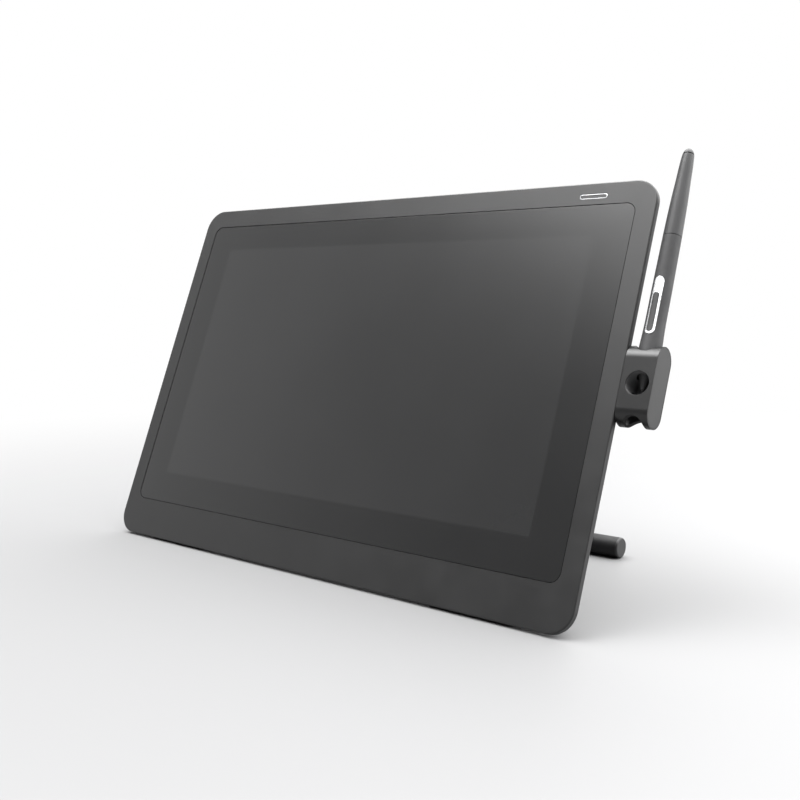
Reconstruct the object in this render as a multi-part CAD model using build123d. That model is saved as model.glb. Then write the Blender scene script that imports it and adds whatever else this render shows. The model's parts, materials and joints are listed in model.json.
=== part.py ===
"""Pen display tablet: a glass-fronted drawing screen on an adjustable stand, with a pen in a side holder.

The pieces are drawn in the screen's own frame: X across the screen, Y up its face, Z out of it, with
the front of the bezel at Z = 0 and the middle of the bezel at the origin. They are then tilted back
together, stood on the table and centred over their footprint. Lengths are millimetres, angles degrees.
"""
from build123d import *
import math
import os

# Stance
REST_TILT = 68.0
LOW_TILT = 19.0

# Screen unit
WIDTH = 422.0
HEIGHT = 282.4
CORNER = 16.25
BEZEL_DEPTH = 4.2
BEZEL_PLATE = 2.9
BEZEL_WALL = 2.4
BEZEL_EDGE = 0.9
GLASS_WIDTH = 395.0
GLASS_HEIGHT = 238.2
GLASS_CORNER = 7.0
GLASS_Y = 6.6
GLASS_TOP = -0.2
GLASS_THICK = 1.1
GLASS_GAP = 0.35
LEDGE_DEPTH = 1.5
ACTIVE_WIDTH = 344.16
ACTIVE_HEIGHT = 193.59
ACTIVE_Y = 7.9
LCD_HEIGHT = 205.6
LEDGE_WIDTH = 381.0
LEDGE_HEIGHT = 225.0

# Rear housing: depth, inset from the bezel's outline and corner radius of each section
HOUSING_SECTIONS = ((-4.2, 0.6, 15.6), (-20.0, 15.6, 11.0), (-24.5, 24.0, 8.0))
CAVITY_SECTIONS = ((-4.2, 3.36, 13.0), (-18.4, 16.8, 9.5), (-22.5, 24.5, 7.0))
BACK = -24.5
BACK_INNER = -22.5

# Internal tray
TRAY_WIDTH = 374.0
TRAY_HEIGHT = 224.0
TRAY_TOP = -3.2
TRAY_FLOOR_TOP = -9.0
TRAY_BACK = -10.4
TRAY_WALL = 1.2

# Housing screws and the bosses they pass through
SCREW_RADIUS = 1.25
SCREW_CLEARANCE = 1.4
SCREW_HEAD_RADIUS = 2.6
SCREW_RECESS_RADIUS = 3.0
BOSS_RADIUS = 3.6
HOUSING_SCREW_SPOTS = [(x, y) for x in (-176.0, 176.0) for y in (-92.0, 0.0, 104.0)]
HOUSING_SCREW_SPOTS += [(-60.0, -92.0), (60.0, -92.0)]

# Power button
BUTTON_X = 166.3
BUTTON_Y = 131.6
BUTTON_LENGTH = 20.0
BUTTON_WIDTH = 3.5
BUTTON_RIM = 0.55

# Main board and cable port
BOARD_X = 100.0
BOARD_Y = 93.0
BOARD_WIDTH = 140.0
BOARD_HEIGHT = 44.0
BOARD_TOP = -13.4
BOARD_THICK = 1.6
PORT_X = 140.0
PORT_Y = 48.0
PORT_WIDTH = 50.0
PORT_HEIGHT = 36.0
PORT_WALL = 1.6
PORT_FLOOR = -15.9
PORT_LID_LAP = 1.5
CABLE_NOTCH = 4.0

# Stand
HINGE_Y = 24.0
HINGE_Z = -34.0
HINGE_RADIUS = 7.0
HINGE_PIN = 3.0
HINGE_CLEARANCE = 0.05
BUSH_RADIUS = 4.2
ARM_X = 95.0
ARM_WIDTH = 16.0
ARM_THICK = 9.0
EAR_OFFSET = 10.9
EAR_THICK = 3.4
BRACKET_WIDTH = 220.0
BRACKET_HEIGHT = 44.0
BRACKET_THICK = 1.8
BRACKET_SCREW_SPOTS = [(x, y) for x in (-60.0, 60.0) for y in (10.0, 38.0)]
FOOT_Z = -165.3
FOOT_RADIUS = 7.5
FOOT_CORE_RADIUS = 6.7
FOOT_BORE = 5.3
FOOT_HALF = 149.5
FOOT_CAP = 1.8
PANEL_START = 26.0
PANEL_END = 98.0
PANEL_THICK = 4.0

# Release levers
LEVER_X = 24.0
LEVER_Y = 52.0
LEVER_WIDTH = 10.0
LEVER_TOP_Y = 84.0
LEVER_THICK = 3.0
LEVER_PIN = 2.0

# Rubber feet
PAD_PROUD = 0.6
FOOT_STRIP_FRONT = -5.0
FOOT_STRIP_BACK = -14.0
FOOT_STRIP_LENGTH = 62.0
FOOT_STRIP_X = 140.0

# Pen holder
HOLDER_START = 211.35
HOLDER_END = 231.7
HOLDER_CAP = 1.8
HOLDER_RIM = 0.7
HOLDER_Y = 9.85
HOLDER_Z = -8.5
HOLDER_HEIGHT = 49.85
HOLDER_THICK = 19.0
HOLE_RADIUS = 7.15
HOLE_X = 221.9
HOLE_Y = 9.65
HOLE_FLOOR = 2.4
MOUTH_FLARE = 8.5
ARCH_RADIUS = 6.4
ARCH_Y = -15.75
TONGUE_WIDTH = 14.0
TONGUE_Y = 2.0
TONGUE_TOP = -5.2
TONGUE_THICK = 2.2
TONGUE_TIP = 200.0
SLOT_CLEARANCE = 0.3
NIB_TRAY_DEPTH = 1.9
NIB_TRAY_HALF = 6.7
NIB_TRAY_Y = 24.0
NIB_GROOVE = 0.9

# Pen
PEN_X = 221.3
NIB_TIP = 6.8
NIB_END = 25.0
NIB_RADIUS = 0.85
NOSE_FRONT = 8.3
NOSE_RADIUS = 1.35
NOSE_SEAM = 20.5
WAIST_Y = 27.0
WAIST_RADIUS = 7.0
PEN_SEAM = 105.0
SEAM_RADIUS = 5.7
BARREL_END = 159.9
BARREL_END_RADIUS = 3.6
ERASER_END = 163.8
PEN_BORE = 3.0
SWITCH_START = 41.0
SWITCH_END = 77.5
SWITCH_WIDTH = 6.4
ROCKER_START = 42.3
ROCKER_END = 67.3
ROCKER_WIDTH = 3.8
ROCKER_GAP = 0.12

# Derived places
GLASS_BACK = GLASS_TOP - GLASS_THICK
BOARD_BACK = BOARD_TOP - BOARD_THICK
FLOOR_LEVEL = -HEIGHT / 2 * math.sin(math.radians(REST_TILT)) \
    - BEZEL_DEPTH * math.cos(math.radians(REST_TILT)) - PAD_PROUD


def floor_y(level, tilt, z):
    """Y at depth z of the table's plane, when the screen is tilted by tilt and the table is at level."""
    angle = math.radians(tilt)
    return (level - z * math.cos(angle)) / math.sin(angle)


FOOT_Y = floor_y(FLOOR_LEVEL + FOOT_RADIUS, REST_TILT, FOOT_Z)
LEG_LENGTH = math.hypot(FOOT_Y - HINGE_Y, FOOT_Z - HINGE_Z)
LEG_ANGLE = math.degrees(math.atan2(FOOT_Z - HINGE_Z, FOOT_Y - HINGE_Y))
STRIP_FRONT_Y = floor_y(FLOOR_LEVEL, REST_TILT, FOOT_STRIP_FRONT)
STRIP_BACK_Y = floor_y(FLOOR_LEVEL, REST_TILT, FOOT_STRIP_BACK)


def low_stance_angle():
    """Leg direction at which the foot bar meets the table with the screen at its lowest tilt."""
    tilt = math.radians(LOW_TILT)
    table = STRIP_BACK_Y * math.sin(tilt) + FOOT_STRIP_BACK * math.cos(tilt)
    hinge = HINGE_Y * math.sin(tilt) + HINGE_Z * math.cos(tilt)
    return math.degrees(math.asin((table + FOOT_RADIUS - hinge) / LEG_LENGTH)) - LOW_TILT


STAND_OPEN = low_stance_angle() - LEG_ANGLE
STAND_FOLD = -180.0 - LEG_ANGLE
HINGE_LINE = Plane(origin=(0, HINGE_Y, HINGE_Z), x_dir=(1, 0, 0),
                   z_dir=(0, FOOT_Y - HINGE_Y, FOOT_Z - HINGE_Z))
PEN_AXIS = Plane(origin=(PEN_X, 0, HOLDER_Z), x_dir=(1, 0, 0), z_dir=(0, 1, 0))


def plate(width, height, radius, top, depth, x=0.0, y=0.0):
    """Rounded rectangular plate whose front face is at Z = top."""
    return Pos(x, y, top - depth) * extrude(RectangleRounded(width, height, radius), depth)


def pill(length, width, top, depth, x, y, upright=False):
    """Plate with two round ends, lying along X or standing along Y."""
    outline = Rot(0, 0, 90 if upright else 0) * SlotOverall(length, width)
    return Pos(x, y, top - depth) * extrude(outline, depth)


def block(x_range, y_range, z_range):
    """Rectangular block between three pairs of limits."""
    sizes = [high - low for low, high in (x_range, y_range, z_range)]
    middles = [(high + low) / 2 for low, high in (x_range, y_range, z_range)]
    return Pos(*middles) * Box(*sizes)


def post(radius, x, y, back, front):
    """Cylinder along Z between two depths."""
    return Pos(x, y, (back + front) / 2) * Cylinder(radius, front - back)


def axle(radius, x_low, x_high, y, z):
    """Cylinder along X between two places."""
    return Pos((x_low + x_high) / 2, y, z) * Rot(0, 90, 0) * Cylinder(radius, x_high - x_low)


def screw(x, y, head_back, head_thick, tip):
    """Pan-head screw driven in from the back, with a cross recess in its head."""
    head = post(SCREW_HEAD_RADIUS, x, y, head_back, head_back + head_thick)
    shank = post(SCREW_RADIUS, x, y, head_back + head_thick, tip)
    recess = block((x - 1.5, x + 1.5), (y - 0.3, y + 0.3), (head_back, head_back + 0.8))
    recess += block((x - 0.3, x + 0.3), (y - 1.5, y + 1.5), (head_back, head_back + 0.8))
    return head + shank - recess


def group(pieces):
    """Several separate solids kept together in one node."""
    return Compound(children=[solid for piece in pieces for solid in piece.solids()])


def loft_sections(sections):
    """Ruled form through rounded rectangles at the depths that the sections name."""
    outlines = []
    for depth, inset, radius in sections:
        outline = RectangleRounded(WIDTH - 2 * inset, HEIGHT - 2 * inset, radius)
        outlines.append(Pos(0, 0, depth) * outline)
    return loft(outlines, ruled=True)


# Front of the screen unit

def front_bezel():
    outline = RectangleRounded(WIDTH, HEIGHT, CORNER)
    shell = Pos(0, 0, -BEZEL_DEPTH) * extrude(outline, BEZEL_DEPTH)
    shell = fillet(shell.faces().sort_by(Axis.Z)[-1].edges(), BEZEL_EDGE)
    hollow = plate(WIDTH - 2 * BEZEL_WALL, HEIGHT - 2 * BEZEL_WALL, CORNER - BEZEL_WALL,
                   -BEZEL_PLATE, BEZEL_DEPTH - BEZEL_PLATE)
    seat = plate(GLASS_WIDTH + 2 * GLASS_GAP, GLASS_HEIGHT + 2 * GLASS_GAP,
                 GLASS_CORNER + GLASS_GAP, 0, LEDGE_DEPTH, 0, GLASS_Y)
    opening = plate(LEDGE_WIDTH, LEDGE_HEIGHT, 3, 0, BEZEL_DEPTH, 0, ACTIVE_Y)
    button_hole = pill(BUTTON_LENGTH, BUTTON_WIDTH, 0, BEZEL_DEPTH, BUTTON_X, BUTTON_Y)
    shell = shell - hollow - seat - opening - button_hole
    for offset in (-13.0, 13.0):
        shell += post(1.5, BUTTON_X + offset, BUTTON_Y - 0.5, -6.9, -BEZEL_PLATE)
    return shell


def cover_glass():
    glass = plate(GLASS_WIDTH, GLASS_HEIGHT, GLASS_CORNER, GLASS_TOP, GLASS_THICK, 0, GLASS_Y)
    return chamfer(glass.faces().sort_by(Axis.Z)[-1].edges(), 0.15)


def glass_adhesive():
    tape = plate(GLASS_WIDTH, GLASS_HEIGHT, GLASS_CORNER, GLASS_BACK, 0.2, 0, GLASS_Y)
    return tape - plate(LEDGE_WIDTH, LEDGE_HEIGHT, 3, GLASS_BACK, 0.2, 0, ACTIVE_Y)


def printed_border():
    border = plate(LEDGE_WIDTH - 1, LEDGE_HEIGHT - 1, 3, GLASS_BACK, 0.1, 0, ACTIVE_Y)
    return border - plate(ACTIVE_WIDTH, ACTIVE_HEIGHT, 0.3, GLASS_BACK, 0.1, 0, ACTIVE_Y)


def display_stack():
    """The flat layers behind the glass, from front to back."""
    return {
        "lcd_panel": plate(356, LCD_HEIGHT, 1, -1.5, 2.0, 0, ACTIVE_Y),
        "backlight_unit": plate(360, 208, 1, -3.6, 3.0, 0, ACTIVE_Y),
        "digitizer_board": plate(362, 212, 2, -6.8, 0.8, 0, ACTIVE_Y),
        "shield_plate": plate(362, 212, 2, -7.7, 0.5, 0, ACTIVE_Y),
    }


def power_button_ring():
    ring = pill(BUTTON_LENGTH - 0.1, BUTTON_WIDTH - 0.1, 0.15, 2.6, BUTTON_X, BUTTON_Y)
    ring = chamfer(ring.faces().sort_by(Axis.Z)[-1].edges(), 0.2)
    return ring - pill(BUTTON_LENGTH - 2 * BUTTON_RIM, BUTTON_WIDTH - 2 * BUTTON_RIM,
                       0.15, 2.6, BUTTON_X, BUTTON_Y)


def power_button_cap():
    length = BUTTON_LENGTH - 2 * BUTTON_RIM - 0.2
    width = BUTTON_WIDTH - 2 * BUTTON_RIM - 0.2
    cap = pill(length, width, -0.1, 2.3, BUTTON_X, BUTTON_Y)
    cap = fillet(cap.faces().sort_by(Axis.Z)[-1].edges(), 0.3)
    return cap + post(1.0, BUTTON_X, BUTTON_Y, -4.4, -2.4)


def button_board():
    board = block((BUTTON_X - 15, BUTTON_X + 15), (BUTTON_Y - 2.0, BUTTON_Y + 1.4), (-7.9, -6.9))
    switch_body = block((BUTTON_X - 2, BUTTON_X + 2), (BUTTON_Y - 1.4, BUTTON_Y + 1.4), (-6.9, -5.5))
    plunger = post(0.7, BUTTON_X, BUTTON_Y, -5.5, -5.0)
    return board + switch_body + plunger


# Inside of the screen unit

def chassis_tray():
    tray = plate(TRAY_WIDTH, TRAY_HEIGHT, 3, TRAY_TOP, TRAY_TOP - TRAY_BACK, 0, ACTIVE_Y)
    tray -= plate(TRAY_WIDTH - 2 * TRAY_WALL, TRAY_HEIGHT - 2 * TRAY_WALL, 2,
                  TRAY_TOP, TRAY_TOP - TRAY_FLOOR_TOP, 0, ACTIVE_Y)
    tray -= block((-52, 8), (-101.6, -99.4), (TRAY_BACK, TRAY_FLOOR_TOP))
    for x, y in HOUSING_SCREW_SPOTS + BRACKET_SCREW_SPOTS:
        tray -= post(SCREW_RADIUS, x, y, TRAY_BACK, TRAY_FLOOR_TOP)
    for x in (BOARD_X - BOARD_WIDTH / 2 + 5, BOARD_X + BOARD_WIDTH / 2 - 5):
        for y in (BOARD_Y - BOARD_HEIGHT / 2 + 5, BOARD_Y + BOARD_HEIGHT / 2 - 5):
            tray += post(2.6, x, y, BOARD_TOP, TRAY_BACK) - post(SCREW_RADIUS, x, y, BOARD_TOP, TRAY_BACK)
    for x in (-130, 10):
        tray += post(2.0, x, -77, -11.2, TRAY_BACK)
    return tray


def main_board():
    board = plate(BOARD_WIDTH, BOARD_HEIGHT, 2, BOARD_TOP, BOARD_THICK, BOARD_X, BOARD_Y)
    for x in (BOARD_X - BOARD_WIDTH / 2 + 5, BOARD_X + BOARD_WIDTH / 2 - 5):
        for y in (BOARD_Y - BOARD_HEIGHT / 2 + 5, BOARD_Y + BOARD_HEIGHT / 2 - 5):
            board -= post(SCREW_RADIUS, x, y, BOARD_BACK, BOARD_TOP)
    return board


def board_components():
    chips = [block((62, 84), (84, 106), (BOARD_BACK - 1.2, BOARD_BACK))]
    chips += [block((92 + 16 * i, 104 + 16 * i), (96, 106), (BOARD_BACK - 1.0, BOARD_BACK)) for i in range(2)]
    chips += [post(2.4, 92 + 8 * i, 84, BOARD_BACK - 5.0, BOARD_BACK) for i in range(4)]
    return group(chips)


def board_shield():
    can = block((38, 56), (80, 110), (BOARD_BACK - 2.4, BOARD_BACK))
    return can - block((38.4, 55.6), (80.4, 109.6), (BOARD_BACK - 2.0, BOARD_BACK))


def board_screws():
    screws = []
    for x in (BOARD_X - BOARD_WIDTH / 2 + 5, BOARD_X + BOARD_WIDTH / 2 - 5):
        for y in (BOARD_Y - BOARD_HEIGHT / 2 + 5, BOARD_Y + BOARD_HEIGHT / 2 - 5):
            screws.append(screw(x, y, BOARD_BACK - 1.4, 1.4, TRAY_BACK))
    return group(screws)


def panel_driver_board():
    return plate(160, 14, 1, -11.2, 1.2, -60, -77)


def panel_flex():
    """Flat film from the panel's lower edge, through the tray, to the driver board."""
    thick = 0.15
    across = (-50, 6)
    film = block(across, (-100.6, ACTIVE_Y - LCD_HEIGHT / 2), (-2.5 - thick, -2.5))
    film += block(across, (-100.6, -100.6 + thick), (-12.4 - thick, -2.5))
    return film + block(across, (-100.6, -80), (-12.4 - thick, -12.4))


def port_socket():
    shell = block((PORT_X - 12, PORT_X + 12), (62, 78), (BOARD_BACK - 6, BOARD_BACK))
    return shell - block((PORT_X - 10.5, PORT_X + 10.5), (62, 74), (BOARD_BACK - 5, BOARD_BACK - 1))


def holder_socket(side):
    """Guide behind the side slot that takes the pen holder's tongue; side is 1 right, -1 left."""
    half = TONGUE_WIDTH / 2 + SLOT_CLEARANCE
    guide = block((192, 202.8), (TONGUE_Y - half - 2, TONGUE_Y + half + 2), (-9.0, -4.3))
    guide -= block((195, 202.8), (TONGUE_Y - half, TONGUE_Y + half),
                   (TONGUE_TOP - TONGUE_THICK - SLOT_CLEARANCE, TONGUE_TOP + SLOT_CLEARANCE))
    return guide if side > 0 else mirror(guide, Plane.YZ)


# Rear housing and what is fixed to it

def rear_housing():
    shell = loft_sections(HOUSING_SECTIONS) - loft_sections(CAVITY_SECTIONS)
    shell += port_pocket_walls()
    for x, y in HOUSING_SCREW_SPOTS + BRACKET_SCREW_SPOTS:
        shell += post(BOSS_RADIUS, x, y, BACK_INNER, TRAY_BACK)
    for x, y in HOUSING_SCREW_SPOTS + BRACKET_SCREW_SPOTS:
        shell -= post(SCREW_CLEARANCE, x, y, BACK, TRAY_BACK)
    for x, y in HOUSING_SCREW_SPOTS:
        shell -= post(SCREW_RECESS_RADIUS, x, y, BACK, BACK + 1.6)
    shell -= port_pocket()
    shell -= vent_slots()
    shell -= side_slots()
    return shell - security_slot()


def port_pocket_walls():
    width = PORT_WIDTH + 2 * PORT_WALL
    height = PORT_HEIGHT + 2 * PORT_WALL
    top = PORT_FLOOR + PORT_WALL
    return plate(width, height, 3, top, top - BACK_INNER, PORT_X, PORT_Y)


def port_pocket():
    """Recess for the cable plug, the seat of its lid, and the window for the socket."""
    recess = plate(PORT_WIDTH, PORT_HEIGHT, 2, PORT_FLOOR, PORT_FLOOR - BACK, PORT_X, PORT_Y)
    seat = plate(PORT_WIDTH + 2 * PORT_LID_LAP, PORT_HEIGHT + 2 * PORT_LID_LAP, 3,
                 BACK_INNER, BACK_INNER - BACK, PORT_X, PORT_Y)
    window = block((PORT_X - 12.2, PORT_X + 12.2), (61.8, 78.2), (BOARD_BACK - 6.2, BOARD_BACK))
    return recess + seat + window


def vent_slots():
    slot = Rot(0, 0, 90) * SlotOverall(10, 1.8)
    rows = [Pos(x, 104, BACK) * extrude(slot, BACK_INNER - BACK) for x in range(-100, 101, 5)]
    rows += [Pos(x, -74, BACK) * extrude(slot, BACK_INNER - BACK) for x in range(-40, 41, 5)]
    return Compound(children=rows)


def side_slots():
    half = TONGUE_WIDTH / 2 + SLOT_CLEARANCE
    slot = block((202, WIDTH / 2), (TONGUE_Y - half, TONGUE_Y + half),
                 (TONGUE_TOP - TONGUE_THICK - SLOT_CLEARANCE, TONGUE_TOP + SLOT_CLEARANCE))
    return slot + mirror(slot, Plane.YZ)


def security_slot():
    return plate(7, 3, 1.2, BACK_INNER, BACK_INNER - BACK, -150, -40)


def housing_screws():
    return group([screw(x, y, BACK + 0.2, 1.4, TRAY_FLOOR_TOP) for x, y in HOUSING_SCREW_SPOTS])


def port_cover():
    """Lift-off lid over the cable pocket, with a notch where the cable comes out."""
    lid = plate(PORT_WIDTH + 2 * PORT_LID_LAP - 0.5, PORT_HEIGHT + 2 * PORT_LID_LAP - 0.5, 2.8,
                BACK_INNER - 0.1, 1.8, PORT_X, PORT_Y)
    lid -= post(CABLE_NOTCH, PORT_X, PORT_Y - PORT_HEIGHT / 2 - PORT_LID_LAP, BACK, BACK_INNER)
    for i in range(3):
        lid -= pill(16, 1.2, BACK + 0.6, 0.6, PORT_X, PORT_Y + 10 + 2.4 * i)
    return lid


def rear_feet():
    return group([post(8, x, y, BACK - 2.2, BACK) for x in (-168, 168) for y in (-66, 80)])


def base_strips():
    """Wedge feet under the lower edge: one flat for the steep stance and one for the low stance."""
    slope = math.radians(LOW_TILT)
    heel = (STRIP_BACK_Y + 6.5 * math.cos(slope), FOOT_STRIP_BACK - 6.5 * math.sin(slope))
    outline = Polyline((STRIP_FRONT_Y, FOOT_STRIP_FRONT), (STRIP_BACK_Y, FOOT_STRIP_BACK), heel,
                       (-127, heel[1]), (-138, FOOT_STRIP_FRONT), close=True)
    strip = extrude(Plane.YZ * make_face(outline), FOOT_STRIP_LENGTH)
    strip -= loft_sections(HOUSING_SECTIONS)
    left = Pos(-FOOT_STRIP_X - FOOT_STRIP_LENGTH / 2, 0, 0) * strip
    right = Pos(FOOT_STRIP_X - FOOT_STRIP_LENGTH / 2, 0, 0) * strip
    return group([left, right])


# Stand

def stand_bracket():
    """Cast plate on the back, with two pairs of ears for the hinge pins and a tab for the levers."""
    bracket = plate(BRACKET_WIDTH, BRACKET_HEIGHT, 6, BACK, BRACKET_THICK, 0, HINGE_Y)
    bracket += plate(84, 28, 6, BACK, BRACKET_THICK, 0, LEVER_Y - 2)
    ear_outline = make_face(Polyline((HINGE_Y - 13, BACK - 1), (HINGE_Y + 13, BACK - 1),
                                     (HINGE_Y + HINGE_RADIUS, HINGE_Z), (HINGE_Y - HINGE_RADIUS, HINGE_Z),
                                     close=True))
    for side in (-1, 1):
        for offset in (-EAR_OFFSET, EAR_OFFSET):
            x = side * ARM_X + offset
            ear = Pos(x - EAR_THICK / 2, 0, 0) * extrude(Plane.YZ * ear_outline, EAR_THICK)
            ear += axle(HINGE_RADIUS, x - EAR_THICK / 2, x + EAR_THICK / 2, HINGE_Y, HINGE_Z)
            bracket += ear
        bracket -= axle(HINGE_PIN, side * ARM_X - 15, side * ARM_X + 15, HINGE_Y, HINGE_Z)
        bracket -= post(LEVER_PIN, side * LEVER_X, LEVER_Y, BACK - BRACKET_THICK, BACK)
    for x, y in BRACKET_SCREW_SPOTS:
        bracket -= post(SCREW_RADIUS, x, y, BACK - BRACKET_THICK, BACK)
    return bracket


def bracket_screws():
    head_back = BACK - BRACKET_THICK - 1.4
    return group([screw(x, y, head_back, 1.4, TRAY_FLOOR_TOP) for x, y in BRACKET_SCREW_SPOTS])


def hinge_pins():
    pins = []
    outer = EAR_OFFSET + EAR_THICK / 2
    for side in (-1, 1):
        middle = side * ARM_X
        pin = axle(HINGE_PIN, middle - outer - 0.9, middle + outer + 0.9, HINGE_Y, HINGE_Z)
        pin += axle(4.8, middle + outer, middle + outer + 1.8, HINGE_Y, HINGE_Z)
        pin += axle(4.2, middle - outer - 0.9, middle - outer, HINGE_Y, HINGE_Z)
        pins.append(pin)
    return group(pins)


def friction_washers():
    gap_start = ARM_WIDTH / 2 + 0.15
    washers = []
    for side in (-1, 1):
        for facing in (-1, 1):
            ends = sorted((side * ARM_X + facing * gap_start, side * ARM_X + facing * (gap_start + 0.9)))
            washer = axle(6.2, ends[0], ends[1], HINGE_Y, HINGE_Z)
            washers.append(washer - axle(HINGE_PIN, ends[0], ends[1], HINGE_Y, HINGE_Z))
    return group(washers)


def hinge_bushes():
    bushes = []
    for side in (-1, 1):
        ends = (side * ARM_X - ARM_WIDTH / 2, side * ARM_X + ARM_WIDTH / 2)
        bush = axle(BUSH_RADIUS, ends[0], ends[1], HINGE_Y, HINGE_Z)
        bushes.append(bush - axle(HINGE_PIN + HINGE_CLEARANCE, ends[0], ends[1], HINGE_Y, HINGE_Z))
    return group(bushes)


def stand_arm(side):
    """Leg from the hinge knuckle down to its saddle on the foot bar."""
    middle = side * ARM_X
    ends = (middle - ARM_WIDTH / 2, middle + ARM_WIDTH / 2)
    arm = Pos(middle, 0, 0) * (HINGE_LINE * extrude(RectangleRounded(ARM_WIDTH, ARM_THICK, 3), LEG_LENGTH))
    arm += axle(HINGE_RADIUS, ends[0], ends[1], HINGE_Y, HINGE_Z)
    arm -= axle(BUSH_RADIUS, ends[0], ends[1], HINGE_Y, HINGE_Z)
    arm -= axle(FOOT_CORE_RADIUS, ends[0], ends[1], FOOT_Y, FOOT_Z)
    for reach in (PANEL_START + 14, PANEL_END - 16):
        arm -= stand_screw(side, reach)
    return arm


def stand_screw(side, reach):
    """Screw through an arm's outer side into the edge of the cross panel."""
    inner = side * (ARM_X - ARM_WIDTH / 2 - 7)
    outer = side * (ARM_X + ARM_WIDTH / 2)
    under_head = outer - side * 2
    y = HINGE_Y + reach * HINGE_LINE.z_dir.Y
    z = HINGE_Z + reach * HINGE_LINE.z_dir.Z
    shank = axle(1.2, min(inner, under_head), max(inner, under_head), y, z)
    return shank + axle(2.8, min(outer, under_head), max(outer, under_head), y, z)


def stand_screws():
    reaches = (PANEL_START + 14, PANEL_END - 16)
    return group([stand_screw(side, reach) for side in (-1, 1) for reach in reaches])


def stand_cross_panel():
    """Plate that ties the two arms together, with a finger window and a rolled lower edge."""
    half = ARM_X - ARM_WIDTH / 2
    reach = PANEL_END - PANEL_START
    panel = Pos(0, 0, (PANEL_START + PANEL_END) / 2) * Box(2 * half, PANEL_THICK, reach)
    window = Rot(90, 0, 0) * extrude(RectangleRounded(116, 30, 12), PANEL_THICK, both=True)
    panel -= Pos(0, 0, (PANEL_START + PANEL_END) / 2 - 2) * window
    panel += Pos(0, 0, PANEL_END) * Rot(0, 90, 0) * Cylinder(3.6, 2 * half)
    panel = HINGE_LINE * panel
    for side in (-1, 1):
        for place in (PANEL_START + 14, PANEL_END - 16):
            panel -= stand_screw(side, place)
    return panel


def foot_bar():
    end = FOOT_HALF - FOOT_CAP
    return axle(FOOT_CORE_RADIUS, -end, end, FOOT_Y, FOOT_Z) - axle(FOOT_BORE, -end, end, FOOT_Y, FOOT_Z)


def foot_sleeves():
    """Rubber sleeves on the bar, outboard of the arms, that stand on the table."""
    sleeves = []
    for side in (-1, 1):
        ends = sorted((side * (ARM_X + ARM_WIDTH / 2 + 2), side * (FOOT_HALF - FOOT_CAP)))
        sleeve = axle(FOOT_RADIUS, ends[0], ends[1], FOOT_Y, FOOT_Z)
        sleeves.append(sleeve - axle(FOOT_CORE_RADIUS, ends[0], ends[1], FOOT_Y, FOOT_Z))
    return group(sleeves)


def foot_end_caps():
    cap = axle(FOOT_RADIUS, FOOT_HALF - FOOT_CAP, FOOT_HALF, FOOT_Y, FOOT_Z)
    cap = fillet(cap.edges().group_by(Axis.X)[-1], 1.2)
    cap += axle(FOOT_BORE, FOOT_HALF - FOOT_CAP - 8, FOOT_HALF - FOOT_CAP, FOOT_Y, FOOT_Z)
    return group([cap, mirror(cap, Plane.YZ)])


def release_lever(side):
    """Squeeze lever that frees the hinge: a flat arm on a pin, with a raised finger pad."""
    back_of_plate = BACK - BRACKET_THICK - 0.3
    back_of_arm = back_of_plate - LEVER_THICK
    middle_x = side * LEVER_X
    length = LEVER_TOP_Y - LEVER_Y + LEVER_WIDTH
    middle_y = (LEVER_TOP_Y + LEVER_Y) / 2
    lever = pill(length, LEVER_WIDTH, back_of_plate, LEVER_THICK, middle_x, middle_y, upright=True)
    pad = pill(20, LEVER_WIDTH, back_of_arm, 4.5, middle_x, LEVER_TOP_Y - 5, upright=True)
    pad = fillet(pad.faces().sort_by(Axis.Z)[0].edges(), 1.2)
    for i in range(5):
        groove_y = LEVER_TOP_Y - 10.5 + 2.8 * i
        pad -= block((middle_x - 6, middle_x + 6), (groove_y, groove_y + 0.9),
                     (back_of_arm - 4.5, back_of_arm - 4.0))
    return lever + pad - post(LEVER_PIN + HINGE_CLEARANCE, middle_x, LEVER_Y, back_of_arm, back_of_plate)


def lever_pins():
    back_of_lever = BACK - BRACKET_THICK - 0.3 - LEVER_THICK
    pins = []
    for side in (-1, 1):
        pin = post(LEVER_PIN, side * LEVER_X, LEVER_Y, back_of_lever - 0.3, BACK)
        pins.append(pin + post(3.4, side * LEVER_X, LEVER_Y, back_of_lever - 1.7, back_of_lever - 0.3))
    return group(pins)


# Pen holder

def holder_block(x_low, x_high, inset=0.0):
    """Upright block with rounded top and bottom, between two places along X."""
    outline = Plane.YZ * SlotOverall(HOLDER_HEIGHT - 2 * inset, HOLDER_THICK - 2 * inset)
    return Pos(x_low, HOLDER_Y, HOLDER_Z) * extrude(outline, x_high - x_low)


def pen_cone_radius(y):
    """Radius of the pen's nose cone at height y."""
    return NOSE_RADIUS + (WAIST_RADIUS - NOSE_RADIUS) * (y - NOSE_FRONT) / (WAIST_Y - NOSE_FRONT)


def holder_bore():
    """Upright pen passage: a flared mouth, a seat that follows the nose cone, and an open bottom."""
    seat_y = 18.5
    gap = 0.25
    mouth = WAIST_RADIUS + 0.15
    outline = Polyline((0, -20), (5.5, -20), (5.5, HOLE_Y), (pen_cone_radius(seat_y) + gap, HOLE_Y),
                       (pen_cone_radius(seat_y) + gap, seat_y), (mouth, WAIST_Y - 0.5), (mouth, 27.6),
                       (MOUTH_FLARE, 30), (MOUTH_FLARE, 40), (0, 40), close=True)
    return turned(outline)


def turned(outline):
    """Revolve an outline of radius and height about the pen's axis."""
    solid = revolve(Plane.XZ * make_face(outline), Axis.Z)
    return PEN_AXIS * solid


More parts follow.
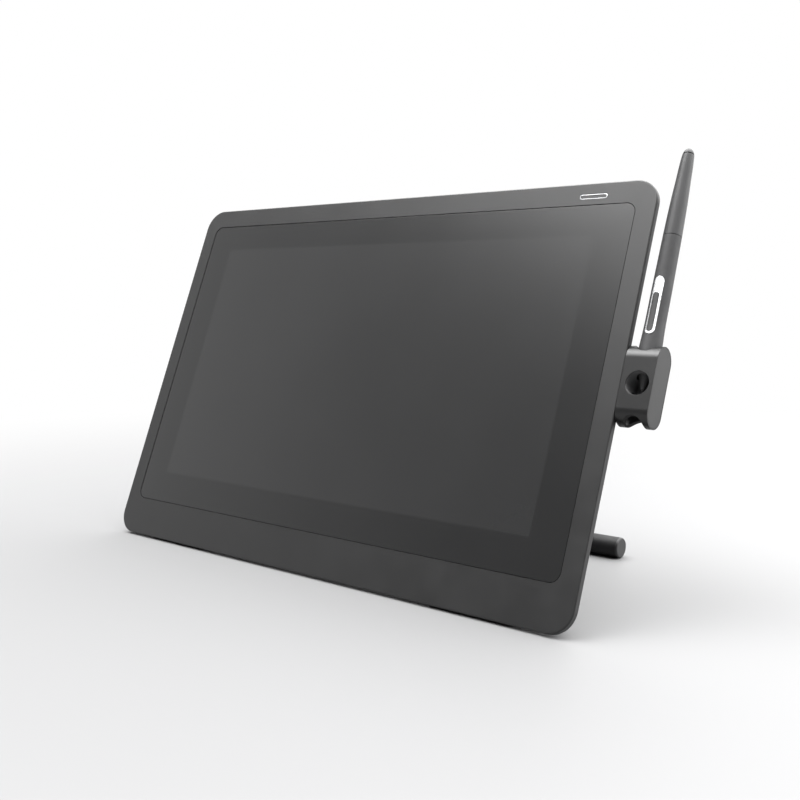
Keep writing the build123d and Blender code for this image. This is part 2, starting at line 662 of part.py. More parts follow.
def rest_hole():
    """Level hole in the holder's front, closed at the back, with a small chamfer at its mouth."""
    front = HOLDER_Z + HOLDER_THICK / 2
    floor = HOLDER_Z - HOLDER_THICK / 2 + HOLE_FLOOR
    hole = post(HOLE_RADIUS, HOLE_X, HOLE_Y, floor, front)
    return hole + Pos(HOLE_X, HOLE_Y, front - 0.2) * Cone(HOLE_RADIUS, HOLE_RADIUS + 0.4, 0.4)


def holder_arch():
    """Arch across the holder's rounded bottom, under the pen passage."""
    return post(ARCH_RADIUS, HOLE_X, ARCH_Y, HOLDER_Z - HOLDER_THICK, HOLDER_Z + HOLDER_THICK)


def nib_pocket():
    """Shallow square recess in the holder's inner face, for the nib tray."""
    return block((HOLDER_START, HOLDER_START + NIB_TRAY_DEPTH),
                 (NIB_TRAY_Y - NIB_TRAY_HALF, NIB_TRAY_Y + NIB_TRAY_HALF),
                 (HOLDER_Z - NIB_TRAY_HALF, HOLDER_Z + NIB_TRAY_HALF))


def nib_spots():
    return [HOLDER_Z + offset for offset in (-4.4, 0.0, 4.4)]


def holder_shell():
    shell = holder_block(HOLDER_START, HOLDER_END)
    shell -= holder_block(HOLDER_END - HOLDER_CAP, HOLDER_END, HOLDER_RIM)
    shell = shell - holder_bore() - rest_hole() - holder_arch() - nib_pocket()
    shell -= axle(3.8, HOLDER_START, HOLDER_START + 1.4, -4.6, HOLDER_Z)
    tongue = block((TONGUE_TIP, HOLDER_START), (TONGUE_Y - TONGUE_WIDTH / 2, TONGUE_Y + TONGUE_WIDTH / 2),
                   (TONGUE_TOP - TONGUE_THICK, TONGUE_TOP))
    return shell + tongue


def holder_end_cap():
    """Plate let into the holder's outer end, inside a thin rim."""
    cap = holder_block(HOLDER_END - HOLDER_CAP, HOLDER_END, HOLDER_RIM + 0.05)
    return fillet(cap.edges().group_by(Axis.X)[-1], 0.25)


def nib_tray():
    """Insert in the nib pocket, with an open groove for each spare nib."""
    tray = nib_pocket()
    middle = HOLDER_START + NIB_GROOVE
    groove_half = NIB_TRAY_HALF - 0.2
    for z in nib_spots():
        tray -= Pos(middle, NIB_TRAY_Y, z) * Rot(90, 0, 0) * Cylinder(NIB_GROOVE, 2 * groove_half)
        tray -= block((HOLDER_START, middle), (NIB_TRAY_Y - groove_half, NIB_TRAY_Y + groove_half),
                      (z - NIB_GROOVE, z + NIB_GROOVE))
    return tray


def spare_nibs():
    nib = Rot(90, 0, 0) * Cylinder(NIB_RADIUS, 2 * NIB_TRAY_HALF - 0.6)
    return group([Pos(HOLDER_START + NIB_GROOVE, NIB_TRAY_Y, z) * nib for z in nib_spots()])


def nib_remover():
    ring = axle(3.6, HOLDER_START + 0.2, HOLDER_START + 1.4, -4.6, HOLDER_Z)
    return ring - axle(1.1, HOLDER_START + 0.2, HOLDER_START + 1.4, -4.6, HOLDER_Z)


# Pen, turned about its upright axis: outlines are radius and height

def pen_flank(swell=0.0):
    """Outer line of the grip from its waist up to the barrel seam."""
    points = [(WAIST_RADIUS, WAIST_Y), (6.68, 36), (6.25, 46.5), (6.12, 63), (5.93, 84.6),
              (SEAM_RADIUS, PEN_SEAM)]
    return Spline(*[(radius + swell, y) for radius, y in points])


def pen_body_form(swell):
    """Solid of the grip's outer form, grown by swell."""
    flank = pen_flank(swell)
    sides = Polyline(flank @ 1, (0, PEN_SEAM), (0, WAIST_Y), flank @ 0)
    return turned([flank, sides])


def pen_grip():
    """Soft-touch grip sleeve, hollow, with a pocket for the side switch."""
    nose = Line((pen_cone_radius(NOSE_SEAM), NOSE_SEAM), (WAIST_RADIUS, WAIST_Y))
    flank = pen_flank()
    inside = Polyline(flank @ 1, (PEN_BORE, PEN_SEAM), (PEN_BORE, NOSE_SEAM), nose @ 0)
    grip = turned([nose, flank, inside])
    pocket = pill(SWITCH_END - SWITCH_START, SWITCH_WIDTH, 0, -HOLDER_Z - PEN_BORE + 0.6,
                  PEN_X, (SWITCH_START + SWITCH_END) / 2, upright=True)
    return grip - pocket


def pen_nose():
    """Hard nose cone with the nib's channel."""
    outline = Polyline((NIB_RADIUS + 0.1, NOSE_FRONT), (NOSE_RADIUS, NOSE_FRONT),
                       (pen_cone_radius(NOSE_SEAM), NOSE_SEAM), (NIB_RADIUS + 0.1, NOSE_SEAM), close=True)
    return turned(outline)


def pen_barrel():
    """Hard upper half of the pen, tapering to the eraser."""
    start = PEN_SEAM + 0.35
    flank = Spline((SEAM_RADIUS, start), (5.44, 118), (5.06, 131), (4.5, 144), (3.87, 157),
                   (BARREL_END_RADIUS, BARREL_END))
    inside = Polyline(flank @ 1, (1.7, BARREL_END), (1.7, BARREL_END - 4), (PEN_BORE - 0.4, BARREL_END - 4),
                      (PEN_BORE, start), flank @ 0)
    return turned([flank, inside])


def pen_seam_ring():
    outline = Polyline((PEN_BORE, PEN_SEAM), (SEAM_RADIUS - 0.25, PEN_SEAM),
                       (SEAM_RADIUS - 0.25, PEN_SEAM + 0.35), (PEN_BORE, PEN_SEAM + 0.35), close=True)
    return turned(outline)


def rocker_window():
    """Pill-shaped well in the switch bezel that the rocker sits in."""
    length = ROCKER_END - ROCKER_START
    return pill(length, ROCKER_WIDTH + 2 * ROCKER_GAP, 0, -HOLDER_Z, PEN_X, (ROCKER_START + ROCKER_END) / 2,
                upright=True)


def pen_switch_bezel():
    length = SWITCH_END - SWITCH_START - 0.06
    rim = pill(length, SWITCH_WIDTH - 0.06, 0, -HOLDER_Z - PEN_BORE - 0.1,
               PEN_X, (SWITCH_START + SWITCH_END) / 2, upright=True)
    return (rim & pen_body_form(0.25)) - rocker_window()


def pen_rocker():
    length = ROCKER_END - ROCKER_START - 2 * ROCKER_GAP - 0.1
    rocker = pill(length, ROCKER_WIDTH, 0, -HOLDER_Z - PEN_BORE - 0.2, PEN_X,
                  (ROCKER_START + ROCKER_END) / 2, upright=True)
    return rocker & pen_body_form(0.36)


def pen_nib():
    """Nib with a round tip, standing in the nose cone."""
    start = NIB_TIP + NIB_RADIUS
    tip = Pos(0, 0, start) * Sphere(NIB_RADIUS)
    stem = Pos(0, 0, (start + NIB_END) / 2) * Cylinder(NIB_RADIUS, NIB_END - start)
    return PEN_AXIS * (tip + stem)


def pen_eraser():
    """Eraser button on the pen's tail, with the stem that works its sensor."""
    outline = Polyline((0, 150), (1.5, 150), (1.5, BARREL_END + 0.6), (3.45, BARREL_END + 0.6),
                       (3.1, 161.6), (2.4, 162.8), (1.4, ERASER_END), (0, ERASER_END), close=True)
    return turned(outline)


def pen_coil():
    outline = Polyline((1.15, 21.0), (2.8, 21.0), (2.8, 38.0), (1.15, 38.0), close=True)
    return turned(outline)


def pen_sensor():
    return PEN_AXIS * (Pos(0, 0, 34.5 + 8) * Cylinder(2.7, 7))


def pen_circuit_board():
    return block((PEN_X - 2.2, PEN_X + 2.2), (47, 148), (HOLDER_Z - 1.2, HOLDER_Z - 0.2))


def all_nodes():
    nodes = {
        "front_bezel": front_bezel(),
        "cover_glass": cover_glass(),
        "glass_adhesive": glass_adhesive(),
        "printed_border": printed_border(),
        **display_stack(),
        "chassis_tray": chassis_tray(),
        "main_board": main_board(),
        "board_components": board_components(),
        "board_shield": board_shield(),
        "board_screws": board_screws(),
        "panel_driver_board": panel_driver_board(),
        "panel_flex": panel_flex(),
        "port_socket": port_socket(),
        "holder_socket_left": holder_socket(-1),
        "holder_socket_right": holder_socket(1),
        "rear_housing": rear_housing(),
        "housing_screws": housing_screws(),
        "base_strips": base_strips(),
        "rear_feet": rear_feet(),
        "power_button_ring": power_button_ring(),
        "power_button_cap": power_button_cap(),
        "button_board": button_board(),
        "port_cover": port_cover(),
        "stand_bracket": stand_bracket(),
        "bracket_screws": bracket_screws(),
        "hinge_pins": hinge_pins(),
        "friction_washers": friction_washers(),
        "lever_pins": lever_pins(),
        "release_lever_left": release_lever(-1),
        "release_lever_right": release_lever(1),
        "hinge_bushes": hinge_bushes(),
        "stand_arm_left": stand_arm(-1),
        "stand_arm_right": stand_arm(1),
        "stand_cross_panel": stand_cross_panel(),
        "stand_screws": stand_screws(),
        "foot_bar": foot_bar(),
        "foot_sleeves": foot_sleeves(),
        "foot_end_caps": foot_end_caps(),
        "holder_shell": holder_shell(),
        "holder_end_cap": holder_end_cap(),
        "nib_tray": nib_tray(),
        "spare_nibs": spare_nibs(),
        "nib_remover": nib_remover(),
        "pen_nose": pen_nose(),
        "pen_grip": pen_grip(),
        "pen_barrel": pen_barrel(),
        "pen_seam_ring": pen_seam_ring(),
        "pen_switch_bezel": pen_switch_bezel(),
        "pen_circuit_board": pen_circuit_board(),
        "pen_coil": pen_coil(),
        "pen_sensor": pen_sensor(),
        "pen_nib": pen_nib(),
        "pen_rocker": pen_rocker(),
        "pen_eraser": pen_eraser(),
    }
    return nodes


def stance(nodes):
    """Location that tilts the screen back and stands the whole object, centred, on the table."""
    tilt = Rot(REST_TILT, 0, 0)
    boxes = [(tilt * shape).bounding_box() for shape in nodes.values()]
    x = (min(box.min.X for box in boxes) + max(box.max.X for box in boxes)) / 2
    y = (min(box.min.Y for box in boxes) + max(box.max.Y for box in boxes)) / 2
    return Pos(-x, -y, -FLOOR_LEVEL) * tilt


NODES = all_nodes()
STANCE = stance(NODES)

os.makedirs("parts", exist_ok=True)
for name, shape in NODES.items():
    export_step(STANCE * shape, f"parts/{name}.step")
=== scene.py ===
"""Looks of the pen drawing tablet: camera, studio, materials and the finished cover glass."""
import bpy
import json
import math
from mathutils import Matrix, Vector


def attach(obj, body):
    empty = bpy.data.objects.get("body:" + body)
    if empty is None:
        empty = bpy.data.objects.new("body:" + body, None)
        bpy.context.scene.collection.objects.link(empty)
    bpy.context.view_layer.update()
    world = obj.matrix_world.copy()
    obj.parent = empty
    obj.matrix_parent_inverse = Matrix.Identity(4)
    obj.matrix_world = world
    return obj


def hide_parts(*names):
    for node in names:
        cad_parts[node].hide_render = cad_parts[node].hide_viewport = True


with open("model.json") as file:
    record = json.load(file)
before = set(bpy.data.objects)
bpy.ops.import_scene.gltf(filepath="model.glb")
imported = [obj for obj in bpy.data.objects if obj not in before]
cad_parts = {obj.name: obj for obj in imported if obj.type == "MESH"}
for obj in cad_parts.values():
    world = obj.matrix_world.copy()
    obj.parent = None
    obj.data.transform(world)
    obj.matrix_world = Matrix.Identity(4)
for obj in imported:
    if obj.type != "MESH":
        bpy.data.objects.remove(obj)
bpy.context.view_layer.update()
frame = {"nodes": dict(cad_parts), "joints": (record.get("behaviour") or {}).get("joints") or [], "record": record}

MM = 0.001


# The screen's own frame, in millimetres: X across, Y up the face, Z out of it, origin in the middle of the
# bezel's front. The stand's hinge line lies at this place in it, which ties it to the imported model.
REST_TILT = math.radians(68)
HINGE_IN_SCREEN = Vector((0, 24, -34)) * MM
GLASS = {"width": 395.0, "height": 238.2, "corner": 7.0, "y": 6.6, "top": -0.2, "thick": 1.1}
GLASS_EDGE = ((0.0, 0.3), (0.08, 0.1), (0.3, 0.0))   # ground edge: inset from the side, depth below the top
ACTIVE = {"width": 344.16, "height": 193.59, "y": 7.9, "corner": 1.0, "blur": 0.5}
REST_HOLE = {"x": 221.9, "y": 9.65, "reach": 7.3, "front": 0.4}
ARCH = {"x": 221.9, "y": -15.75, "reach": 6.6}


def screen_matrix():
    hinge = next(j for j in frame["joints"] if j["name"] == "stand_hinge")
    turn = Matrix.Rotation(REST_TILT, 4, "X")
    return Matrix.Translation(Vector(hinge["pos_m"]) - turn @ HINGE_IN_SCREEN) @ turn


SCREEN = screen_matrix()


def on_screen(x, y, z):
    """World place of a point given in the screen's frame, in millimetres."""
    return SCREEN @ (Vector((x, y, z)) * MM)


# Camera

CAMERA = {"place": (491.48, -140.18, 521.85), "turn": (84.688, 0.285, 39.7),
          "lens": 45.821, "shift": -0.0236}


def make_camera():
    camera = bpy.data.cameras.new("camera")
    camera.lens = CAMERA["lens"]
    camera.sensor_width = 36
    camera.shift_y = CAMERA["shift"]
    camera.clip_start = 0.01
    holder = bpy.data.objects.new("camera", camera)
    bpy.context.scene.collection.objects.link(holder)
    holder.location = on_screen(*CAMERA["place"])
    holder.rotation_euler = [math.radians(angle) for angle in CAMERA["turn"]]
    bpy.context.scene.camera = holder


make_camera()


# Studio

def ramp_node(tree, value, low, high, out_low, out_high, smooth=True):
    """Map a value's range onto another one."""
    ramp = tree.nodes.new("ShaderNodeMapRange")
    ramp.interpolation_type = "SMOOTHSTEP" if smooth else "LINEAR"
    ramp.inputs["From Min"].default_value = low
    ramp.inputs["From Max"].default_value = high
    ramp.inputs["To Min"].default_value = out_low
    ramp.inputs["To Max"].default_value = out_high
    tree.links.new(value, ramp.inputs["Value"])
    return ramp.outputs["Result"]


def mixed(tree, factor, first, second):
    """Number between two others, each a constant or a socket."""
    mix = tree.nodes.new("ShaderNodeMix")
    mix.data_type = "FLOAT"
    for name, value in (("Factor", factor), ("A", first), ("B", second)):
        if isinstance(value, (int, float)):
            mix.inputs[name].default_value = value
        else:
            tree.links.new(value, mix.inputs[name])
    return mix.outputs["Result"]


FLOOR = {"half_size": 12.0, "colour": (0.17, 0.17, 0.1715, 1), "roughness": 0.55, "fade": (0.3, 1.0)}

# Light strengths of the room's parts, and where one part gives way to the next along the direction's axes
ROOM = {"left": 1.22, "front": 0.18, "back_left": 0.15, "back": 2.6, "right": 1.4, "side_box": 6.0,
        "box": 7.0, "box_middle": 22.0, "box_edge": 2.0, "box_right": 3.0, "ceiling": 7.0}
TURNS = {
    "left_to_front_x": (-0.88, -0.5), "back_left_to_back_x": (-0.55, -0.3), "back_to_right_x": (0.45, 0.75),
    "right_to_side_box_y": (0.1, 0.35), "right_to_side_box_z": (0.0, 0.12), "front_to_back_y": (-0.3, 0.05),
    "walls_to_ceiling_z": (0.41, 0.53), "box_to_middle_z": (0.72, 0.84), "edge_to_box_y": (-0.76, -0.51),
    "box_to_right_x": (-0.5, 0.1), "box_to_ceiling_y": (-0.25, 0.15),
}
CEILING_TILT = {"x": (-1.0, -0.4), "raised": (-0.34, -0.15)}


def make_floor():
    """Grey paper that fades into the white backdrop."""
    half = FLOOR["half_size"]
    corners = [(-half, -half, 0), (half, -half, 0), (half, half, 0), (-half, half, 0)]
    mesh = bpy.data.meshes.new("floor")
    mesh.from_pydata(corners, [], [(0, 1, 2, 3)])
    floor = bpy.data.objects.new("floor", mesh)
    bpy.context.scene.collection.objects.link(floor)
    material = bpy.data.materials.new("floor_paper")
    material.use_nodes = True
    nodes, links = material.node_tree.nodes, material.node_tree.links
    nodes.clear()
    output = nodes.new("ShaderNodeOutputMaterial")
    paper = nodes.new("ShaderNodeBsdfPrincipled")
    paper.inputs["Base Color"].default_value = FLOOR["colour"]
    paper.inputs["Roughness"].default_value = FLOOR["roughness"]
    glow = nodes.new("ShaderNodeEmission")
    mix = nodes.new("ShaderNodeMixShader")
    place = nodes.new("ShaderNodeTexCoord")
    length = nodes.new("ShaderNodeVectorMath")
    length.operation = "LENGTH"
    links.new(place.outputs["Object"], length.inputs[0])
    fade = ramp_node(material.node_tree, length.outputs["Value"], *FLOOR["fade"], 0.0, 1.0)
    links.new(fade, mix.inputs["Fac"])
    links.new(paper.outputs["BSDF"], mix.inputs[1])
    links.new(glow.outputs["Emission"], mix.inputs[2])
    links.new(mix.outputs["Shader"], output.inputs["Surface"])
    mesh.materials.append(material)


def make_world():
    """White backdrop. As a light it is a room, dim low down in front and pale to the left, with a bright
    strip behind and a soft box at the right. The ceiling has a large soft box over its front half."""
    world = bpy.data.worlds.new("studio")
    world.use_nodes = True
    tree = world.node_tree
    background = tree.nodes["Background"]
    background.inputs["Color"].default_value = (1, 1, 1, 1)
    direction = tree.nodes.new("ShaderNodeSeparateXYZ")
    tree.links.new(tree.nodes.new("ShaderNodeTexCoord").outputs["Generated"], direction.inputs["Vector"])
    x, y, z = (direction.outputs[axis] for axis in "XYZ")

    def turn(value, span, before=0.0, after=1.0):
        return ramp_node(tree, value, *TURNS[span], before, after)

    front_wall = turn(x, "left_to_front_x", ROOM["left"], ROOM["front"])
    side_box = mixed(tree, turn(y, "right_to_side_box_y"), ROOM["right"],
                     turn(z, "right_to_side_box_z", ROOM["right"], ROOM["side_box"]))
    back_wall = mixed(tree, turn(x, "back_to_right_x"),
                      turn(x, "back_left_to_back_x", ROOM["back_left"], ROOM["back"]), side_box)
    walls = mixed(tree, turn(y, "front_to_back_y", 1.0, 0.0), back_wall, front_wall)
    lean = tree.nodes.new("ShaderNodeMath")
    lean.operation = "ADD"
    tilt = ramp_node(tree, x, *CEILING_TILT["x"], *CEILING_TILT["raised"], smooth=False)
    tree.links.new(tilt, lean.inputs[0])
    tree.links.new(z, lean.inputs[1])
    box = mixed(tree, turn(y, "edge_to_box_y"), ROOM["box_edge"],
                turn(z, "box_to_middle_z", ROOM["box"], ROOM["box_middle"]))
    box = mixed(tree, turn(x, "box_to_right_x"), box, ROOM["box_right"])
    ceiling = mixed(tree, turn(y, "box_to_ceiling_y"), box, ROOM["ceiling"])
    room = mixed(tree, turn(lean.outputs["Value"], "walls_to_ceiling_z"), walls, ceiling)
    path = tree.nodes.new("ShaderNodeLightPath")
    tree.links.new(mixed(tree, path.outputs["Is Camera Ray"], room, 1.0), background.inputs["Strength"])
    bpy.context.scene.world = world


def make_studio():
    make_world()
    bpy.context.scene.view_settings.view_transform = "Standard"
    make_floor()


make_studio()


# Materials

MASK = (0.0, 1.0)
NOISE_MIDDLE = (0.3, 0.7)    # the range that holds most of a noise's values


def node_material(name):
    material = bpy.data.materials.new(name)
    material.use_nodes = True
    tree = material.node_tree
    return material, tree, tree.nodes["Principled BSDF"]


def texture_space(tree):
    return tree.nodes.new("ShaderNodeTexCoord").outputs["Object"]


def noise(tree, space, scale, detail=3.0, rough=0.55):
    texture = tree.nodes.new("ShaderNodeTexNoise")
    texture.inputs["Scale"].default_value = scale
    texture.inputs["Detail"].default_value = detail
    texture.inputs["Roughness"].default_value = rough
    tree.links.new(space, texture.inputs["Vector"])
    return texture.outputs["Fac"]


def cells(tree, space, scale):
    texture = tree.nodes.new("ShaderNodeTexVoronoi")
    texture.inputs["Scale"].default_value = scale
    tree.links.new(space, texture.inputs["Vector"])
    return texture.outputs["Distance"]


def spread(tree, value, taken, given=MASK):
    """Straight mapping of one range onto another."""
    return ramp_node(tree, value, *taken, *given, smooth=False)


def around(middle, swing):
    return middle - swing, middle + swing


def blend_colours(tree, factor, first, second):
    mix = tree.nodes.new("ShaderNodeMix")
    mix.data_type = "RGBA"
    tree.links.new(factor, mix.inputs["Factor"])
    for socket, colour in ((mix.inputs["A"], first), (mix.inputs["B"], second)):
        if isinstance(colour, tuple):
            socket.default_value = (*colour, 1)
        else:
            tree.links.new(colour, socket)
    return mix.outputs["Result"]


def bump(tree, heights, strength, distance, under=None):
    node = tree.nodes.new("ShaderNodeBump")
    node.inputs["Strength"].default_value = strength
    node.inputs["Distance"].default_value = distance
    tree.links.new(heights, node.inputs["Height"])
    if under is not None:
        tree.links.new(under, node.inputs["Normal"])
    return node.outputs["Normal"]


def edge_wear(tree, space):
    """Mask of convex edges, broken up so that the wear isn't even."""
    geometry = tree.nodes.new("ShaderNodeNewGeometry")
    patches = spread(tree, noise(tree, space, scale=90.0, detail=5.0, rough=0.65), (0.35, 0.7))
    worn = spread(tree, geometry.outputs["Pointiness"], (0.53, 0.66))
    both = tree.nodes.new("ShaderNodeMath")
    both.operation = "MULTIPLY"
    tree.links.new(worn, both.inputs[0])
    tree.links.new(patches, both.inputs[1])
    return both.outputs[0]


def tinted(colour, factor):
    return tuple(min(1.0, c * factor) for c in colour)


def moulded_plastic(name, colour, roughness, grain=2400.0, depth=0.3, specular=0.5):
    """Matt moulded plastic: spark-eroded grain, handling marks in its gloss, slightly paler edges."""
    material, tree, shader = node_material(name)
    space = texture_space(tree)
    clouds = spread(tree, noise(tree, space, scale=14.0, detail=4.0), NOISE_MIDDLE)
    base = blend_colours(tree, clouds, tinted(colour, 0.95), tinted(colour, 1.05))
    specks = spread(tree, noise(tree, space, scale=grain * 0.6, detail=2.0), (0.62, 0.75))
    base = blend_colours(tree, specks, base, tinted(colour, 1.18))
    base = blend_colours(tree, edge_wear(tree, space), base, tinted(colour, 1.35))
    tree.links.new(base, shader.inputs["Base Color"])
    handling = noise(tree, space, scale=45.0, detail=6.0, rough=0.62)
    gloss = spread(tree, handling, NOISE_MIDDLE, around(roughness, 0.045))
    tree.links.new(gloss, shader.inputs["Roughness"])
    pits = bump(tree, cells(tree, space, scale=grain), strength=depth * 0.5, distance=0.04 * MM)
    fine = noise(tree, space, scale=grain * 1.4, detail=2.0)
    tree.links.new(bump(tree, fine, strength=depth, distance=0.05 * MM, under=pits), shader.inputs["Normal"])
    shader.inputs["Specular IOR Level"].default_value = specular
    return material


def etched_glass(name, colour, roughness):
    """Anti-glare glass seen with the panel off: dark body, satin etched surface, faint wipe marks."""
    material, tree, shader = node_material(name)
    space = texture_space(tree)
    wipe = noise(tree, space, scale=9.0, detail=6.0, rough=0.6)
    base = blend_colours(tree, spread(tree, wipe, (0.35, 0.65)), tinted(colour, 0.96), tinted(colour, 1.04))
    tree.links.new(base, shader.inputs["Base Color"])
    gloss = spread(tree, wipe, NOISE_MIDDLE, around(roughness, 0.012))
    tree.links.new(gloss, shader.inputs["Roughness"])
    etching = noise(tree, space, scale=5200.0, detail=1.0)
    tree.links.new(bump(tree, etching, strength=0.08, distance=0.03 * MM), shader.inputs["Normal"])
    return material


def metal(name, colour, roughness):
    """Bare metal with fine tumbling marks."""
    material, tree, shader = node_material(name)
    space = texture_space(tree)
    shader.inputs["Metallic"].default_value = 1.0
    clouds = spread(tree, noise(tree, space, scale=120.0), NOISE_MIDDLE)
    base = blend_colours(tree, clouds, tinted(colour, 0.92), colour)
    tree.links.new(base, shader.inputs["Base Color"])
    marks = noise(tree, space, scale=900.0, detail=4.0)
    gloss = spread(tree, marks, NOISE_MIDDLE, around(roughness, 0.05))
    tree.links.new(gloss, shader.inputs["Roughness"])
    tree.links.new(bump(tree, marks, strength=0.05, distance=0.02 * MM), shader.inputs["Normal"])
    return material


def rubber(name, colour, roughness, specular):
    """Dull rubber with a fine pored surface and dust caught in it."""
    material, tree, shader = node_material(name)
    space = texture_space(tree)
    clouds = spread(tree, noise(tree, space, scale=300.0, detail=5.0), NOISE_MIDDLE)
    base = blend_colours(tree, clouds, tinted(colour, 0.88), tinted(colour, 1.12))
    dust = spread(tree, noise(tree, space, scale=2600.0, detail=2.0), (0.66, 0.78))
    base = blend_colours(tree, dust, base, tinted(colour, 1.7))
    base = blend_colours(tree, edge_wear(tree, space), base, tinted(colour, 1.5))
    tree.links.new(base, shader.inputs["Base Color"])
    handling = noise(tree, space, scale=80.0, detail=5.0)
    gloss = spread(tree, handling, NOISE_MIDDLE, around(roughness, 0.07))
    tree.links.new(gloss, shader.inputs["Roughness"])
    pores = noise(tree, space, scale=1800.0, detail=3.0)
    tree.links.new(bump(tree, pores, strength=0.3, distance=0.08 * MM), shader.inputs["Normal"])
    shader.inputs["Specular IOR Level"].default_value = specular
    return material


MATERIALS = {
    "housing": moulded_plastic("charcoal_plastic", (0.006, 0.006, 0.0062), 0.41),
    "cover_glass": etched_glass("etched_glass", (0.0085, 0.0086, 0.0088), 0.26),
    "black_film": moulded_plastic("black_film", (0.01, 0.01, 0.01), 0.5),
    "panel": moulded_plastic("panel_film", (0.02, 0.02, 0.022), 0.3),
    "white_plastic": moulded_plastic("white_plastic", (0.75, 0.75, 0.73), 0.5),
    "circuit_board": moulded_plastic("solder_mask", (0.02, 0.12, 0.06), 0.35),
    "steel": metal("bright_steel", (0.62, 0.62, 0.63), 0.3),
    "steel_dark": metal("blackened_steel", (0.09, 0.09, 0.095), 0.4),
    "aluminium": metal("passivated_aluminium", (0.12, 0.12, 0.122), 0.5),
    "component": moulded_plastic("black_moulding", (0.02, 0.02, 0.02), 0.45),
    "flex": moulded_plastic("amber_film", (0.5, 0.25, 0.05), 0.3),
    "rubber": rubber("black_rubber", (0.007, 0.007, 0.0073), 0.6, specular=0.3),
    "chrome": metal("polished_chrome", (0.88, 0.89, 0.9), 0.28),
    "button": moulded_plastic("button_plastic", (0.014, 0.014, 0.0147), 0.42),
    "stand_metal": moulded_plastic("powder_coat", (0.016, 0.016, 0.0168), 0.5, grain=1300.0, depth=0.5),
    "lever": moulded_plastic("grey_plastic", (0.1, 0.1, 0.102), 0.45),
    "brass": metal("turned_brass", (0.7, 0.5, 0.22), 0.3),
    "foot_cap": moulded_plastic("foot_cap_plastic", (0.011, 0.011, 0.0113), 0.5),
    "holder": moulded_plastic("holder_plastic", (0.006, 0.006, 0.0062), 0.36, specular=0.4),
    # Paler than the shell's plastic: painted light on the end cap, which faces the light
    "holder_cap": moulded_plastic("holder_cap_painted_light", (0.016, 0.016, 0.0164), 0.5),
    "nib": moulded_plastic("nib_plastic", (0.012, 0.012, 0.012), 0.3),
    "pen_hard": moulded_plastic("pen_plastic", (0.04, 0.04, 0.041), 0.48, specular=0.33),
    "pen_grip": rubber("soft_grip", (0.037, 0.037, 0.038), 0.55, specular=0.33),
    "copper": metal("enamelled_copper", (0.6, 0.28, 0.14), 0.35),
}
ACTIVE_GLASS = etched_glass("etched_glass_over_panel", (0.0145, 0.0146, 0.0149), 0.26)
ACTIVE_EDGE = etched_glass("etched_glass_at_panel_edge", (0.0115, 0.0116, 0.0118), 0.26)
INNER_STEEL = metal("passivated_steel", (0.12, 0.12, 0.122), 0.5)
BUTTON_CHROME = metal("satin_chrome", (0.5, 0.505, 0.51), 0.25)
# Nodes whose finish differs from the others in their slot
FINISHES = {"power_button_ring": BUTTON_CHROME, "shield_plate": INNER_STEEL, "board_shield": INNER_STEEL}
# Paler than the holder's plastic: painted light inside the rest hole
HOLE_PAINTED_LIGHT = moulded_plastic("hole_painted_light", (0.09, 0.09, 0.0915), 0.6)
# Darker than the holder's plastic: painted shade under the arch
ARCH_PAINTED_SHADE = moulded_plastic("arch_painted_shade", (0.003, 0.003, 0.0031), 0.7, specular=0.2)


# Carried-over CAD nodes: the material of their slot, and edges rounded as moulded or machined ones are

# Width of the rounding, in millimetres
SOFT_EDGES = {
    "front_bezel": 0.15, "rear_housing": 0.35, "port_cover": 0.2, "power_button_ring": 0.06,
    "power_button_cap": 0.06, "stand_bracket": 0.4, "release_lever_left": 0.3, "release_lever_right": 0.3,
    "stand_arm_left": 0.5, "stand_arm_right": 0.5, "stand_cross_panel": 0.5, "foot_bar": 0.3,
    "foot_sleeves": 0.3, "foot_end_caps": 0.15, "base_strips": 0.4, "rear_feet": 0.5,
    "holder_shell": 0.35, "holder_end_cap": 0.12, "pen_grip": 0.08, "pen_barrel": 0.08, "pen_nose": 0.05,
    "pen_switch_bezel": 0.12, "pen_rocker": 0.2, "pen_eraser": 0.1, "hinge_pins": 0.15,
    "housing_screws": 0.08, "bracket_screws": 0.08, "lever_pins": 0.15, "stand_screws": 0.08,
    "port_socket": 0.1,
}


WELD_DISTANCE = 0.002 * MM
FLAT_ANGLE = math.radians(0.1)
SHARP_ANGLE = math.radians(32)


def soften_edges(piece, width):
    """Weld the CAD faces together, round their edges and keep flat faces flat in the shading."""
    weld = piece.modifiers.new("weld", "WELD")
    weld.merge_threshold = WELD_DISTANCE
    flat = piece.modifiers.new("flat", "DECIMATE")
    flat.decimate_type = "DISSOLVE"
    flat.angle_limit = FLAT_ANGLE
    edge = piece.modifiers.new("edge", "BEVEL")
    edge.width = width * MM
    edge.segments = 3
    edge.limit_method = "ANGLE"
    edge.angle_limit = SHARP_ANGLE
    edge.use_clamp_overlap = True
    edge.miter_outer = "MITER_ARC"
    normals = piece.modifiers.new("normals", "WEIGHTED_NORMAL")
    normals.keep_sharp = True
    normals.weight = 80


def near_axis(place, opening):
    return math.hypot(place.x - opening["x"], place.y - opening["y"]) < opening["reach"]


def paint_holder_light_and_shade(shell):
    """Paler plastic on the walls inside the holder's rest hole, as painted light, and darker plastic on the walls
    under its arch, as painted shade; both are duller than the shell.
    """
    shell.data.materials.append(HOLE_PAINTED_LIGHT)
    shell.data.materials.append(ARCH_PAINTED_SHADE)
    to_screen = SCREEN.inverted()
    for face in shell.data.polygons:
        place = to_screen @ face.center / MM
        facing = to_screen.to_3x3() @ face.normal
        is_wall = abs(facing.z) < 0.3
        # Rest hole walls: paler plastic as painted light
        if near_axis(place, REST_HOLE) and place.z < REST_HOLE["front"]:
            face.material_index = 1
        # Walls under the arch: darker plastic as painted shade
        elif near_axis(place, ARCH) and is_wall:
            face.material_index = 2


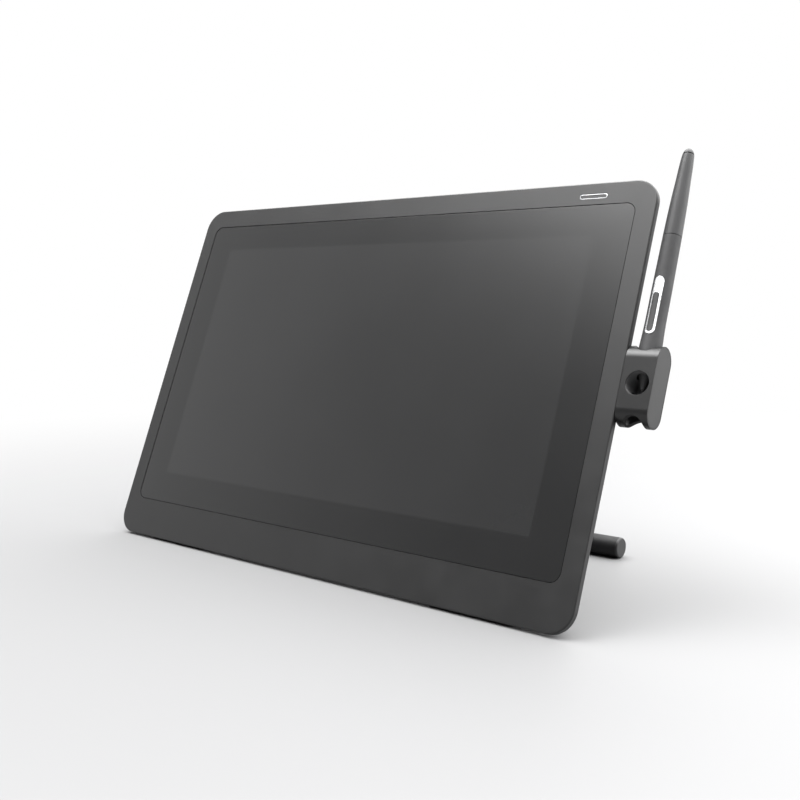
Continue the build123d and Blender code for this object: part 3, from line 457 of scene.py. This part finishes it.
def dress_cad_nodes():
    slots = {row["node"]: row["material_slot"] for row in frame["record"]["subparts"]}
    for node, piece in frame["nodes"].items():
        piece.data.materials.clear()
        piece.data.materials.append(FINISHES.get(node, MATERIALS[slots[node]]))
        if node == "holder_shell":
            paint_holder_light_and_shade(piece)
        if node in SOFT_EDGES:
            for face in piece.data.polygons:
                face.use_smooth = True
            for edge in piece.data.edges:
                edge.use_edge_sharp = False
            soften_edges(piece, SOFT_EDGES[node])


dress_cad_nodes()


# Finished glass, drawn in the screen's frame in millimetres

CORNER_STEPS = 12
BORDER, PALER, BETWEEN = range(3)


def rounded_rectangle(width, height, radius, y):
    """Closed outline about (0, y), anticlockwise, as (x, y) points."""
    points = []
    for corner, (side, end) in enumerate(((1, 1), (-1, 1), (-1, -1), (1, -1))):
        for i in range(CORNER_STEPS + 1):
            angle = math.radians(90 * corner + 90 * i / CORNER_STEPS)
            points.append((side * (width / 2 - radius) + radius * math.cos(angle),
                           y + end * (height / 2 - radius) + radius * math.sin(angle)))
    return points


def glass_rings():
    """Outlines from the glass's underside, over its ground edge, to the area over the panel."""
    rings = []
    for inset, depth in ((0.0, GLASS["thick"]), *GLASS_EDGE):
        outline = rounded_rectangle(GLASS["width"] - 2 * inset, GLASS["height"] - 2 * inset,
                                    GLASS["corner"] - inset, GLASS["y"])
        rings.append([(x, y, GLASS["top"] - depth) for x, y in outline])
    for margin in (ACTIVE["blur"], -ACTIVE["blur"]):
        outline = rounded_rectangle(ACTIVE["width"] + 2 * margin, ACTIVE["height"] + 2 * margin,
                                    ACTIVE["corner"], ACTIVE["y"])
        rings.append([(x, y, GLASS["top"]) for x, y in outline])
    return rings


def make_glass():
    """Cover glass: ground edge, border over the printed frame, and slightly paler area over the panel."""
    rings = glass_rings()
    count = len(rings[0])
    last = len(rings) - 1
    faces, looks = [], []
    for level in range(last):
        for i in range(count):
            low, high, following = level * count, (level + 1) * count, (i + 1) % count
            faces.append((low + i, low + following, high + following, high + i))
            looks.append(BETWEEN if level == last - 1 else BORDER)
    faces += [tuple(range(last * count, (last + 1) * count)), tuple(reversed(range(count)))]
    looks += [PALER, BORDER]
    mesh = bpy.data.meshes.new("finished_glass")
    mesh.from_pydata([on_screen(*point) for ring in rings for point in ring], [], faces)
    for material in (MATERIALS["cover_glass"], ACTIVE_GLASS, ACTIVE_EDGE):
        mesh.materials.append(material)
    for face, look in zip(mesh.polygons, looks):
        face.material_index = look
        face.use_smooth = True
    mesh.update()
    glass = bpy.data.objects.new("finished_glass", mesh)
    bpy.context.scene.collection.objects.link(glass)
    normals = glass.modifiers.new("normals", "WEIGHTED_NORMAL")
    normals.weight = 100
    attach(glass, "display")
    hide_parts("cover_glass")


make_glass()
